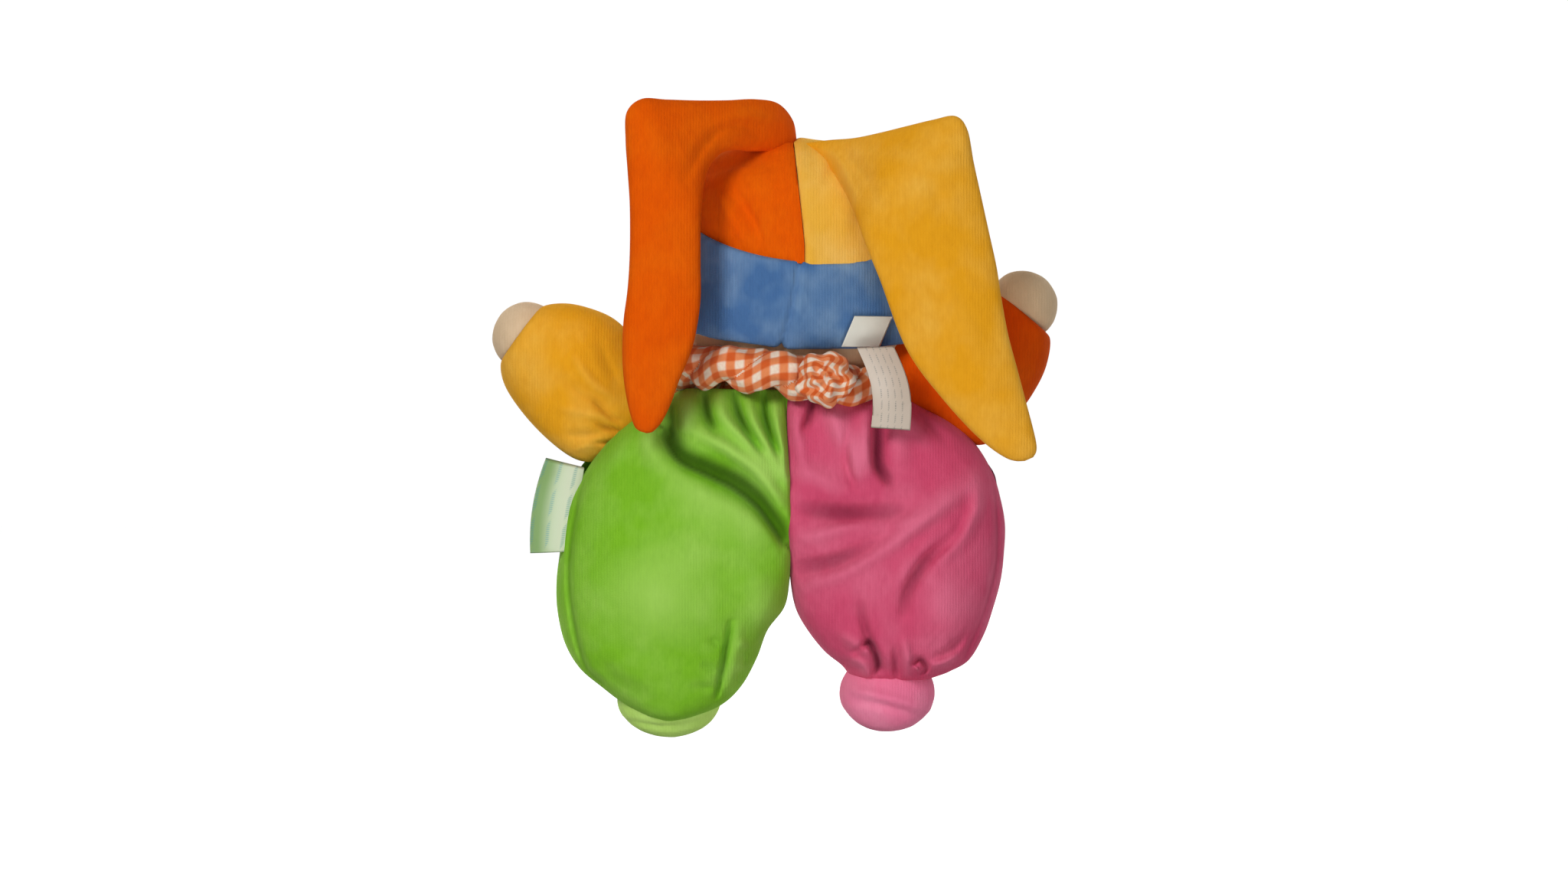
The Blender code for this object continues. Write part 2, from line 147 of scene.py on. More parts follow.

# %% [markdown]
# ## Velour
# Velour is a knitted backing with a short brushed pile. Four things make it look right: fine upright ribs
# from the knit, soft patches where the pile lies the other way and looks paler, folds with a painted
# highlight on their crest and painted shade in their hollow, and a sheen that lightens every edge that
# turns away. Ribs and patches are patterns on Object coordinates, so they need no unwrapping. How far a
# fold stands out is kept on the mesh as an attribute, which sets that painted highlight and shade, and the
# sheen is the shader's own.


# %% A recipe for a material
class Recipe:
    """The nodes of one material. Most methods add one node, and give back its output."""

    def __init__(self, name):
        self.material = bpy.data.materials.new(name)
        self.material.use_nodes = True
        self.tree = self.material.node_tree
        self.shader = self.tree.nodes["Principled BSDF"]

    def put(self, socket, value):
        """Links an output to the socket, or sets a plain value on it."""
        if hasattr(value, "is_output"):
            self.tree.links.new(value, socket)
        else:
            socket.default_value = (*value, 1) if socket.type == "RGBA" else value

    def node(self, kind, **inputs):
        made = self.tree.nodes.new("ShaderNode" + kind)
        for name, value in inputs.items():
            self.put(made.inputs[name.replace("_", " ")], value)
        return made

    def coords(self):
        return self.node("TexCoord").outputs["Object"]

    def attribute(self, name):
        made = self.node("Attribute")
        made.attribute_name = name
        return made.outputs["Fac"]

    def noise(self, coords, scale, detail=2.0, rough=0.5):
        made = self.node("TexNoise", Vector=coords, Scale=scale, Detail=detail, Roughness=rough)
        return made.outputs["Fac"]

    def wave(self, coords, direction, **inputs):
        made = self.node("TexWave", Vector=coords, **inputs)
        made.bands_direction = direction
        return made.outputs["Fac"]

    def ramp(self, value, low, high):
        """0 at `low`, 1 at `high`, and straight between them."""
        return self.node("MapRange", Value=value, From_Min=low, From_Max=high).outputs["Result"]

    def math(self, kind, first, second=0.0):
        made = self.node("Math")
        made.operation = kind
        self.put(made.inputs[0], first)
        self.put(made.inputs[1], second)
        return made.outputs[0]

    def mix(self, factor, first, second):
        """A colour between two, where the Mix node's colour sockets are its inputs 6 and 7."""
        made = self.node("Mix")
        made.data_type = "RGBA"
        for index, value in ((0, factor), (6, first), (7, second)):
            self.put(made.inputs[index], value)
        return made.outputs[2]

    def bump(self, height, strength, distance):
        made = self.node("Bump", Height=height, Strength=strength, Distance=distance)
        self.put(self.shader.inputs["Normal"], made.outputs["Normal"])

    def finish(self, colour, **inputs):
        self.put(self.shader.inputs["Base Color"], colour)
        for name, value in inputs.items():
            self.put(self.shader.inputs[name.replace("_", " ")], value)
        return self.material


def tone(red, green, blue):
    """A colour as a paint chart gives it, 0 to 255, turned into the linear light that shaders use."""
    def one(v):
        v = v / 255
        return v / 12.92 if v <= 0.04045 else ((v + 0.055) / 1.055) ** 2.4
    return one(red), one(green), one(blue)


print("mid grey is", round(tone(128, 128, 128)[0], 3), "in linear light")


# %% Velour, and its ten colours
def velour(name, colour, brushed_and_highlight, shade, sheen=0.45, amount=0.6):
    """Its colour; the paler colour where the pile lies the other way, also laid on fold crests as a
    painted highlight; and the deeper colour of ribs, a quarter of which is laid in fold hollows as painted
    shade.
    """
    r = Recipe(name)
    coords = r.coords()
    patches = r.ramp(r.noise(coords, 34, 2.5, 0.55), 0.42, 0.80)
    drawn_out = r.node("Mapping", Vector=coords, Scale=(1, 1, 0.35)).outputs["Vector"]
    streaks = r.noise(drawn_out, 420, 3, 0.6)
    speckle = r.noise(coords, 1900, 2, 0.6)
    ribs = r.wave(coords, "X", Scale=235, Distortion=1.6, Detail=2, Detail_Scale=0.6)
    worn = r.attribute("worn")
    base = r.mix(r.math("MULTIPLY", patches, amount), colour, brushed_and_highlight)
    base = r.mix(r.math("MULTIPLY", r.ramp(streaks, 0.35, 0.75), 0.30), base, shade)
    base = r.mix(r.math("MULTIPLY", ribs, 0.10), base, shade)
    # Painted highlight on fold crests and painted shade in fold hollows, both read from the fold attribute.
    base = r.mix(r.math("MULTIPLY", r.ramp(worn, 0.05, 0.9), 0.7), base, brushed_and_highlight)
    painted_hollow_shade = tuple(0.26 * v for v in shade)
    base = r.mix(r.math("MULTIPLY", r.ramp(worn, -0.15, -1.0), 0.85), base, painted_hollow_shade)
    height = r.math("ADD", r.math("MULTIPLY", ribs, 0.35), speckle)
    r.bump(r.math("ADD", height, r.math("MULTIPLY", streaks, 0.8)), 0.35, 0.6 * MM)
    return r.finish(base, Roughness=0.95, Specular_IOR_Level=0.05, Sheen_Weight=sheen,
                    Sheen_Roughness=0.45, Sheen_Tint=brushed_and_highlight)


ORANGE = velour("orange_velour", tone(224, 88, 0), tone(232, 112, 8), tone(192, 62, 0), sheen=0.3)
# A darker copy of the orange velour for the orange sleeve: painted shade.
SHADED_ORANGE = velour("shaded_orange_velour", tone(216, 74, 0), tone(226, 100, 12), tone(184, 54, 0), sheen=0.3)
YELLOW = velour("yellow_velour", tone(226, 158, 28), tone(236, 188, 88), tone(202, 132, 14), sheen=0.4)
# Paler copies of the green and pink velour for the feet: painted light, for the light that falls on them.
LIT_FOOT_GREEN = velour("green_foot_lit_velour", tone(188, 226, 112), tone(206, 234, 146), tone(156, 200, 80))
LIT_FOOT_PINK = velour("pink_foot_lit_velour", tone(232, 120, 154), tone(246, 166, 190), tone(216, 96, 132))
PALE_YELLOW = velour("pale_yellow_velour", tone(230, 174, 62), tone(240, 200, 116), tone(218, 156, 40))
BLUE = velour("blue_velour", tone(70, 108, 156), tone(136, 166, 192), tone(52, 86, 134), amount=0.9)
GREEN = velour("green_velour", tone(124, 184, 40), tone(172, 212, 104), tone(94, 156, 18))
PINK = velour("pink_velour", tone(204, 76, 110), tone(226, 122, 150), tone(178, 52, 86))
BEIGE = velour("beige_velour", tone(214, 186, 150), tone(228, 206, 178), tone(192, 162, 126), amount=0.4)
print("velours:", [m.name for m in bpy.data.materials if m.name.endswith("velour")])

# %% [markdown]
# ## Puffed pieces
# Most of this toy is two layers of cloth sewn round their edge and filled. Such a piece is described best
# by its two edges: a station gives the point on one edge and the point on the other, and how thick the
# filling is between them. The mesh starts as a drum with many rows, each row is shaped by a smooth curve
# through the stations, and folds are then pushed in or out. That keeps every wrinkle where it is wanted.

# %% A smooth curve through a few stations
def through(stations, count):
    """Catmull-Rom: `count` rows that pass smoothly through the stations, whatever their columns mean."""
    known = np.array(stations, float)
    padded = np.vstack([2 * known[0] - known[1], known, 2 * known[-1] - known[-2]])
    steps = np.linspace(0, len(known) - 1, count)
    index = np.minimum(steps.astype(int), len(known) - 2)
    t = (steps - index)[:, None]
    p0, p1, p2, p3 = (padded[index + k] for k in range(4))
    curve = 2 * p1 + (p2 - p0) * t + (2 * p0 - 5 * p1 + 4 * p2 - p3) * t**2
    return (curve + (3 * p1 - p0 - 3 * p2 + p3) * t**3) / 2


print("a curve of 5 through 0, 1 and 4:", through([(0,), (1,), (4,)], 5).ravel().round(2))


# %% Folds as strokes
def stroke(x, z, points, width, height, taper=0.5):
    """How far a fold lifts each place, in millimetres: a stroke along `points`, of one width, or of one
    on its left and one on its right. It fades towards its ends, and `taper` says how much."""
    left, right = np.broadcast_to(width, 2)
    line = through(points, 8 * len(points) if len(points) > 2 else 8)
    best = np.full(x.shape, 1e9)
    side = np.zeros(x.shape)
    along = np.zeros(x.shape)
    last = len(line) - 1
    for i, (a, b) in enumerate(zip(line, line[1:])):
        run = b - a
        length = max(np.hypot(*run), 1e-9)
        t = np.clip(((x - a[0]) * run[0] + (z - a[1]) * run[1]) / length**2, 0, 1)
        dx, dz = x - a[0] - t * run[0], z - a[1] - t * run[1]
        gap = np.hypot(dx, dz)
        near = gap < best
        best = np.where(near, gap, best)
        side = np.where(near, np.sign(run[0] * dz - run[1] * dx), side)
        along = np.where(near, (i + t) / last, along)
    reach = np.where(side > 0, left, right)
    fade = np.sin(np.pi * along * 0.96 + 0.06) ** taper
    return height * np.exp(-((best / reach) ** 2)) * fade


def folded(strokes):
    """One relief function from a list of strokes."""
    def relief(x, z):
        total = np.zeros(x.shape)
        for each in strokes:
            total += stroke(x, z, *each)
        return total
    return relief


def flat_cloth(x, z):
    return np.zeros(x.shape)


halfway = stroke(np.array([5.0]), np.array([0.0]), [(0, 0), (10, 0)], 2, 3)
print("a fold 3 high stands", round(float(halfway[0]), 2), "at its middle")


# %% A drum of cloth, shaped between two edges
def drum(columns, rows):
    """A closed drum whose wall is cut into rows. Every puffed piece starts as one."""
    bm = bmesh.new()
    bmesh.ops.create_cone(bm, cap_ends=True, cap_tris=True, segments=columns, radius1=1, radius2=1, depth=1)
    upright = [e for e in bm.edges if abs(e.verts[0].co.z - e.verts[1].co.z) > 0.5]
    bmesh.ops.subdivide_edges(bm, edges=upright, cuts=rows - 2, use_grid_fill=True)
    return bm


def finish_mesh(name, bm, material, centre=None):
    """The mesh as an object. Round a `centre`, an open shell's faces are made to look away from it."""
    bmesh.ops.recalc_face_normals(bm, faces=bm.faces)
    if centre:
        probe = max(bm.faces, key=lambda f: f.calc_area())
        if probe.normal.dot(probe.calc_center_median() - centre) < 0:
            bmesh.ops.reverse_faces(bm, faces=bm.faces)
    mesh = bpy.data.meshes.new(name)
    bm.to_mesh(mesh)
    bm.free()
    mesh.shade_smooth()
    mesh.materials.append(material)
    obj = bpy.data.objects.new(name, mesh)
    scene.collection.objects.link(obj)
    return obj


def add_attributes(obj, **columns):
    """One number for each point of the mesh, which a material can read by name."""
    for name, values in columns.items():
        layer = obj.data.attributes.new(name, "FLOAT", "POINT")
        layer.data.foreach_set("value", np.array(values, np.float32))


def soft_noise(points, size, seed):
    """Smooth noise from -1 to 1 at each point, with lumps about `size` millimetres across."""
    shift = Vector((seed * 7.3, seed * 3.1, seed * 5.7))
    return np.array([noise.noise(Vector(p) / size + shift) for p in points])


# Millimetres of fold height that give the full painted highlight on a crest, and the full painted shade in a
# hollow.
FULL_FOLD_PAINT = 6.0
FOLLOW_OVER = 10.0


def puffed(name, stations, material, rows, columns, back=flat_cloth, front=flat_cloth,
           full=(1.0, 1.0), inner_full=None, lumps=0.7, seed=1, grain=0.18):
    """Two layers of cloth sewn at their edges and filled. A station is both edges' x and z, the y of
    the seam, and how far the cloth stands behind it and in front of it. The smaller a power in `full`,
    the squarer that edge. Where the front layer lies behind the seam, it follows the back one's folds."""
    shape = through(stations, rows)
    bm = drum(columns, rows)
    co = np.array([v.co for v in bm.verts])
    row = np.rint((co[:, 2] + 0.5) * (rows - 1)).astype(int)
    s = (np.arctan2(co[:, 1], co[:, 0]) / np.pi) % 2
    rim = np.hypot(co[:, 0], co[:, 1]) > 0.5
    ox, oz, ix, iz, y, deep_back, deep_front = (shape[row, k] for k in range(7))
    across = np.where(rim, (1 - np.cos(np.pi * np.minimum(s, 2 - s))) / 2, 0.5)
    swell = np.where(rim, np.abs(np.sin(np.pi * s)), 0.6)
    inner = full[1]
    if inner_full:
        inner = np.interp(row / (rows - 1), *inner_full)
    weight = np.clip((across - 0.4) / 0.6, 0, 1)
    power = full[0] + (inner - full[0]) * weight
    arch = swell ** power
    is_back = s < 1
    x = ox + (ix - ox) * across
    z = oz + (iz - oz) * across
    depth = np.where(is_back, -deep_back, deep_front)
    fade = np.minimum(arch * 1.4, 1)
    out = np.where(is_back, -1, 1) * fade
    follow = np.clip(-deep_front / FOLLOW_OVER, 0, 1)
    lift = np.where(is_back, back(x, z), front(x, z) - follow * back(x, z)) * fade
    place = np.stack([x, y + depth * arch + lift * np.where(is_back, -1, 1), z], 1)
    place[:, 1] += out * lumps * soft_noise(place, 26, seed) + out * grain * soft_noise(place, 5, seed + 1)
    for v, p in zip(bm.verts, place):
        v.co = Vector(p) * MM
    obj = finish_mesh(name, bm, material)
    # The fold's lift, kept for the painted highlight on crests and the painted shade in hollows.
    add_attributes(obj, worn=np.clip(lift / FULL_FOLD_PAINT, -1, 1))
    return obj


def dress(obj, replaced, body=None):
    """What a piece stands for, and the body it follows; a piece with no body stays fixed where it is built.
    """
    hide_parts(*replaced)
    if body:
        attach(obj, body)
    else:
        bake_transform(obj)
    print(obj.name, "has", len(obj.data.polygons), "faces and stands for", ", ".join(replaced))


# %% [markdown]
# ## The romper
# The romper is two ballooned legs, green and pink, that run up into one loose body. Seen from behind each
# colour is a single piece of velour from the scarf to the ankle, so it is one mesh here. Its upper rows
# are only a back panel, because the wearer's hand goes in front of them, and its lower rows close into a
# filled leg. Gathers hang from the scarf, a deep swag crosses the green half, and a slanting fold crosses
# the pink one.

# %% Green half, back panel and leg
GREEN_ROWS = [
    (-50, 100, 0.9, 99, 0, 20, -18), (-64, 92, 0.9, 91, 0, 28, -26), (-76, 84, 0.9, 82, 0, 32, -30),
    (-87, 74, 0.9, 72, 0, 35, -33), (-97, 60, 0.9, 60, 0, 36.5, -34), (-104, 47, 1, 47, 0, 38, -32),
    (-107, 35, 1.6, 35, 0, 39, 2), (-109, 21, 1.2, 21, 0, 39, 14), (-110.5, 8, 0.4, 8, 0, 39, 25),
    (-110, -6, -2, -4, 0, 38, 28), (-106.5, -21, -10, -15, 0, 36, 28), (-99.5, -33, -15, -28, 0, 33, 26),
    (-89, -42, -22, -41, 0, 29, 24), (-79, -49.5, -31, -50, 0, 25, 20), (-69, -55, -43, -55.5, 0, 20, 12),
    (-62, -57.5, -52, -58, 0, 12, 5),
]
green_back = folded([
    ([(-60, 88), (-66, 78), (-64, 68), (-56, 60)], 4, 2.6), ([(-57, 97), (-55, 86), (-56, 76)], 2.4, -4),
    ([(-47, 99), (-48, 88), (-50, 78)], 4.6, 4.6), ([(-40, 99), (-38, 88), (-34, 79)], (1.8, 2.2), -6),
    ([(-33, 99), (-30, 86), (-18, 73), (-6, 59)], 3.2, 4.6),
    ([(-26, 99), (-22, 85), (-13, 71)], (1.6, 1.8), -6.5),
    ([(-20, 98), (-16, 84), (-8, 69), (-2, 57)], 2.8, 4.4),
    ([(-12, 98), (-10, 84), (-5, 70)], (1.5, 1.6), -6), ([(-7, 97), (-5, 82), (-2, 66), (0, 52)], 2.4, 4),
    ([(-1.5, 95), (0, 80), (0.5, 60)], (1.6, 1.2), -4.6),
    ([(-44, 80), (-28, 71), (-13, 59), (-3, 42)], (4.2, 3.4), 5.6, 0.5),
    ([(-58, 78), (-51, 67), (-38, 60.5), (-25, 54), (-14, 45), (-6, 34), (-2, 27)], (6, 2.6), -9.5, 0.3),
    ([(-58, 60), (-38, 49), (-20, 39), (-8, 26)], (5, 10), 3.6, 0.5),
    ([(-93, 68), (-99, 50), (-103.5, 22), (-103, -2), (-97, -30), (-88, -40)], (1.6, 1.8), -3.6, 0.2),
    ([(-27, -10), (-30, -26), (-34, -46)], (1.2, 1.4), -4.4, 0.3),
    ([(-23, -12), (-25, -26), (-28, -44)], 3, 2, 0.3), ([(-24, -20), (-19, -22)], 2.2, 1.8),
    ([(-24, -31), (-19, -34)], 2.2, 1.8), ([(-37, -18), (-30, -22)], 1.8, -1.8),
    ([(-41, -30), (-33, -34)], 1.8, -1.8), ([(-44, -40), (-35, -42)], 1.8, -1.6),
    ([(-90, -28), (-80, -38), (-66, -46)], 4, -1.4), ([(-18, 12), (-10, -4), (-14, -22)], 8, 3),
    ([(-70, 30), (-62, 4), (-66, -24)], 28, 4, 1), ([(-88, 62), (-80, 70), (-74, 80)], 5, 1.6),
])
LEG_FULL = dict(full=(0.75, 0.9), inner_full=([0, 0.42, 0.62, 1], [0.12, 0.14, 0.6, 0.9]))
romper = puffed("green_romper", GREEN_ROWS, GREEN, 170, 260, back=green_back, seed=2, **LEG_FULL)
dress(romper, ["romper_green_back", "green_leg"])

# %% Pink half, back panel and leg
PINK_ROWS = [
    (50, 99, -0.9, 99, 0, 20, -18), (64, 91, -0.9, 91, 0, 28, -26), (77, 84, -0.9, 83, 0, 32, -30),
    (88.5, 74, -0.9, 72, 0, 34, -32), (97, 60, -0.9, 60, 0, 35, -33), (101, 47, -0.9, 47, 0, 36, -31),
    (103, 35, -0.6, 35, 0, 36, 2), (102.5, 22, 0.2, 21, 0, 36, 14), (101, 9, 1, 7, 0, 36, 25),
    (97.5, -4, 3.5, -5, 0, 35, 27), (93, -17, 9, -15, 0, 33, 26), (86, -29, 17, -25, 0, 29, 24),
    (77, -34.5, 25, -31.5, 0, 23, 21), (70.5, -37, 29, -36, 0, 19, 18), (64, -39, 35, -39, 0, 13, 14),
    (56, -40, 42, -40, 0, 6, 6),
]
pink_back = folded([
    ([(4, 96), (4, 80), (7, 62)], 3.6, 3), ([(11, 97), (10, 88), (7, 80)], 2, -5),
    ([(20, 97), (22, 84), (30, 68), (31, 56)], (6.5, 5), 5.2), ([(27, 80), (27, 66), (31, 52)], 2.4, -3.6),
    ([(43, 92), (42, 78), (42, 64), (48, 55)], (3.2, 2.6), -7.5), ([(36, 90), (36, 76), (38, 62)], 3.2, 3.4),
    ([(53, 93), (51, 80), (53, 64)], 5.5, 3.2), ([(50, 92), (58, 82), (66, 70)], 4, 1.6),
    ([(57, 92), (65, 84), (75, 74)], 2.6, -1.8), ([(2, 60), (14, 58), (26, 50)], 5, 2.4),
    ([(2, 44), (20, 42), (40, 41), (58, 44)], 4.5, -4.6, 0.6), ([(4, 28), (22, 33), (44, 40)], 3.4, 2.4),
    ([(2, 16), (18, 18), (34, 24), (52, 34)], (3.6, 6.5), -5.6, 0.5),
    ([(8, 8), (26, 14), (46, 26), (66, 40), (86, 56)], (7, 4), 4.6, 0.5),
    ([(90, 60), (88, 44), (78, 28), (68, 18)], (4, 5), 4, 0.5),
    ([(86, 46), (78, 30), (64, 18), (56, 4), (54, -8)], (3, 3.2), -4.8, 0.5),
    ([(72, 34), (60, 20), (52, 8)], 4, 1.8),
    ([(94.5, 66), (98, 48), (98.5, 20), (93, -4), (83, -28)], (1.6, 1.5), -3.2, 0.2),
    ([(24, -16), (34, -22), (42, -26)], (3.4, 2.8), 3),
    ([(31, -25), (38, -20), (42, -29), (40, -36)], 1.6, -5.2),
    ([(33, 2), (35, -10), (40, -24), (46, -36)], 2.4, -3.4), ([(29, -28), (35, -31), (38, -37)], 2.4, 3.6),
    ([(58, -30), (62, -28), (65, -32), (62, -36)], 1.3, -5), ([(60, -33), (61, -32)], 1.8, 3),
    ([(54, -18), (56, -28), (56, -37)], 2.4, 2.8), ([(50, -22), (50, -30), (51, -38)], 1.6, -3.6),
    ([(68, -27), (76, -24), (84, -16)], 2.2, -2.6), ([(66, -32), (72, -30), (80, -26)], 2.6, 2.4),
    ([(60, 10), (76, -4), (78, -20)], 14, 3, 1),
])
romper = puffed("pink_romper", PINK_ROWS, PINK, 170, 260, back=pink_back, seed=5, **LEG_FULL)
dress(romper, ["romper_pink_back", "pink_leg"])

# %% [markdown]
# The front of the body is a plain panel on each side, hemmed over the opening where the hand goes in. A
# panel is the same kind of two-layer piece, with its layers one cloth's thickness apart. The panels overlap
# in the middle, and reach a little behind the side seams, so that no gap shows.

# %% Front panels with their hem
MIDDLE_OVERLAP = 3.4
BEHIND_SEAM = -3.0
PANEL_THICK = 2.2


def front_panel(name, side, wide, material, seed):
    shape = [(50, 95, 18), (wide - 37, 89, 23), (wide - 24, 82, 27), (wide - 13, 72, 29), (wide - 4, 61, 29),
             (wide - 1.6, 53, 29.5)]
    layers = [(w, z, PANEL_THICK - d, d) for w, z, d in shape]
    layers += [(wide, 46.5, -26.4, 30.4), (wide, 44.4, -27.6, 29.2)]
    inner = -side * MIDDLE_OVERLAP
    rows = [(side * w, z, inner, z, BEHIND_SEAM, inside, outside) for w, z, inside, outside in layers]
    gathers = [([(side * x, 94), (side * (x + 3), 80), (side * (x + 5), 62)], 3.4, height)
               for x, height in ((10, 1.8), (20, -1.6), (30, 2.0), (40, -1.6), (50, 1.6))]
    hem = ([(side * 3, 50), (side * (wide - 3), 50)], 0.7, -0.9, 0.1)
    pleats = folded([*gathers, hem])
    obj = puffed(name, rows, material, 90, 180, front=pleats, back=lambda x, z: -pleats(x, z),
                 full=(0.75, 0.12), seed=seed, grain=0.1)
    dress(obj, ["romper_" + name], body="torso")


front_panel("green_front", -1, 104, GREEN, 8)
front_panel("pink_front", 1, 101, PINK, 9)

# %% [markdown]
# ## Feet and hands
# Each foot and hand is a small stuffed ball that sits in a gathered end, so it starts as a UV sphere. A
# seam runs over the foot, and the hand has none. Their joints turn about their own middles.


# %% Stuffed balls
def stuffed_ball(name, centre, radii, material, relief=None, seed=1, lumps=0.5):
    bm = bmesh.new()
    bmesh.ops.create_uvsphere(bm, u_segments=72, v_segments=44, radius=1)
    points = np.array([v.co for v in bm.verts])
    place = points * np.array(radii) + np.array(centre)
    swell = lumps * soft_noise(place, 14, seed) + 0.15 * soft_noise(place, 4, seed + 1)
    if relief:
        swell = swell + relief(place[:, 0], place[:, 2]) * (points[:, 1] < 0)
    for v, p, n, s in zip(bm.verts, place, points, swell):
        v.co = (Vector(p) + Vector(n) * s) * MM
    return finish_mesh(name, bm, material)


green_toe = folded([([(-80, -58), (-58, -61), (-34, -56)], 1.5, -1.2)])
pink_toe = folded([([(30, -43), (46, -46), (66, -52)], 2.2, 1.8),
                   ([(30, -48), (46, -51), (64, -57)], 2, -1.4)])
# The feet wear the paler velour copies, which paint the light on them.
foot = stuffed_ball("green_foot_pad", (-57, 3, -49), (24.5, 17.5, 17.2), LIT_FOOT_GREEN, green_toe, seed=11)
dress(foot, ["green_foot"], body="green_foot")
foot = stuffed_ball("pink_foot_pad", (47, 1, -45), (22.8, 18.5, 18.4), LIT_FOOT_PINK, pink_toe, seed=11)
dress(foot, ["pink_foot"], body="pink_foot")
for body, centre in (("left_hand", (-124.5, 0, 124.5)), ("right_hand", (111.5, 0, 139.5))):
    hand = stuffed_ball(body + "_ball", centre, (16.6, 15.6, 16.6), BEIGE, seed=13, lumps=0.3)
    dress(hand, [body, body + "_stuffing"], body=body)

# %% [markdown]
# ## Sleeves
# A sleeve is a fat pear of velour: wide in the middle, gathered at the armhole and turned in round the
# hand.

# %% Yellow sleeve
YELLOW_SLEEVE_ROWS = [
    (-121, 133, -132, 117, 0, 8, 8), (-117, 139, -137, 112, 0, 17.6, 17.6),
    (-106, 140.5, -135, 101, 0, 20, 20), (-94, 138, -126, 87.5, 0, 22, 22), (-83, 133, -114, 75, 0, 21, 21),
    (-74, 124, -102, 66.5, 0, 18, 18), (-67, 112, -92, 65, 0, 14, 14), (-64, 100, -82, 68, 0, 11, 10),
    (-62, 92, -74, 74, 0, 6, 6),
]
yellow_gathers = folded([
    ([(-80, 84), (-86, 88), (-92, 94)], 1.2, -2.6), ([(-79, 79), (-86, 81), (-93, 84)], 1.2, -2.8),
    ([(-80, 74), (-86, 74), (-93, 74)], 1.2, -2.4), ([(-81, 70), (-87, 68), (-92, 66)], 1.2, -2),
    ([(-84, 91), (-95, 96), (-106, 104)], 2.4, -1.6), ([(-84, 96), (-94, 104), (-102, 116)], 2.4, 1.6),
    ([(-84, 86), (-96, 88), (-108, 90)], 2.4, 1.4), ([(-86, 80), (-97, 78), (-106, 78)], 2.2, -1.8),
    ([(-88, 75), (-97, 72), (-103, 70)], 2, 1.2), ([(-80, 100), (-86, 112), (-90, 124)], 2.6, -1.4),
])
sleeve = puffed("yellow_sleeve_puff", YELLOW_SLEEVE_ROWS, YELLOW, 120, 180, back=yellow_gathers,
                full=(0.85, 0.85), seed=17)
dress(sleeve, ["yellow_sleeve", "yellow_sleeve_stuffing"])

# %% Orange sleeve
ORANGE_SLEEVE_ROWS = [
    (103, 141, 119, 128, 0, 8, 8), (98, 146, 124.5, 123.5, 0, 17.6, 17.6), (88, 146, 122.5, 110, 0, 19, 19),
    (76, 143, 116, 97, 0, 20, 20), (62, 137, 107, 85, 0, 19, 19), (50, 129, 97, 75, 0, 16, 16),
    (38, 119, 88, 73, 0, 12, 12), (35, 104, 78, 76, 0, 7, 7),
]
orange_gathers = folded([
    ([(80, 86), (92, 96), (104, 104)], 2.4, -1.4), ([(74, 94), (84, 104), (96, 116)], 2.4, 1.4),
    ([(66, 104), (74, 116), (82, 128)], 2.4, -1.4), ([(60, 108), (66, 122), (72, 134)], 2.4, 1.2),
])
# The sleeve wears the darker copy of the orange velour, painted shade.
sleeve = puffed("orange_sleeve_puff", ORANGE_SLEEVE_ROWS, SHADED_ORANGE, 110, 160, back=orange_gathers,
                full=(0.85, 0.85), seed=19)
dress(sleeve, ["orange_sleeve", "orange_sleeve_stuffing"])

# %% [markdown]
# ## Head, hat crown and band
# The head is a stuffed ball, wider than it is deep. The hat is two crown panels, orange and yellow, and a
# blue band. All are sewn to follow the ball, so each is a UV sphere that is scaled and cut by planes, and
# given its cloth's thickness. The seam between the crown panels bows a little, and sinks as a groove.

# %% Sewn shells of a ball
HEAD_CENTRE = Vector((4, 0, 160))
HEAD_RADII = np.array((50, 37, 51.0))
CROWN_RADII = HEAD_RADII + (3.4, 3.4, 3.4)
BAND_RADII = HEAD_RADII + (5.4, 5.2, 5.6)
BAND_NORMAL = Vector((0.1, -0.5, 1)).normalized()
BAND_FOOT, BAND_TOP = Vector((0, -29, 117)), Vector((0, -43, 159))


def squared(points):
    """The stuffed head is squarer than a ball: broad at the jaw, and broad again at the top of the hat."""
    points = np.array(points, float)
    x, y, z = points[..., 0], points[..., 1], points[..., 2]
    high = np.clip((z - 166) / 44, 0, 1.1) ** 1.5
    low = np.clip((152 - z) / 35, 0, 1.15) ** 1.5
    wide, deep = 1 + 0.58 * high + 0.60 * low, 1 + 0.16 * high + 0.2 * low
    return np.stack([HEAD_CENTRE.x + (x - HEAD_CENTRE.x) * wide, y * deep, z + 3.6 * high], -1)


def shell(name, radii, material, cuts, swell, wall):
    """A ball cut by planes and squared off. `swell` gives how far each point stands out, and moves it."""
    bm = bmesh.new()
    bmesh.ops.create_uvsphere(bm, u_segments=240, v_segments=150, radius=1)
    for vert in bm.verts:
        vert.co = Vector(np.array(vert.co) * radii) + HEAD_CENTRE
    for point, normal in cuts:
        geometry = bm.verts[:] + bm.edges[:] + bm.faces[:]
        bmesh.ops.bisect_plane(bm, geom=geometry, plane_co=point, plane_no=normal, clear_outer=True)
    points = np.array([vert.co for vert in bm.verts])
    out = points - np.array(HEAD_CENTRE)
    out /= np.linalg.norm(out, axis=1)[:, None]
    lift, slide = swell(points)
    placed = squared(points) + out * lift[:, None]
    placed[:, 0] += slide
    for vert, p in zip(bm.verts, placed):
        vert.co = Vector(p) * MM
    obj = finish_mesh(name, bm, material, centre=HEAD_CENTRE * MM)
    if wall:
        solid = obj.modifiers.new("wall", "SOLIDIFY")
        solid.thickness = wall * MM
        solid.offset = -1
    return obj


def groove(distance, width, depth):
    return depth * np.exp(-((distance / width) ** 2))


def edge_roll(distance, radius):
    """How far an edge sinks at `distance` from where it is cut, so that it looks rolled."""
    u = np.clip(1 - distance / radius, 0, 1)
    return radius * 0.7 * (1 - np.sqrt(np.clip(1 - u * u, 0, 1)))


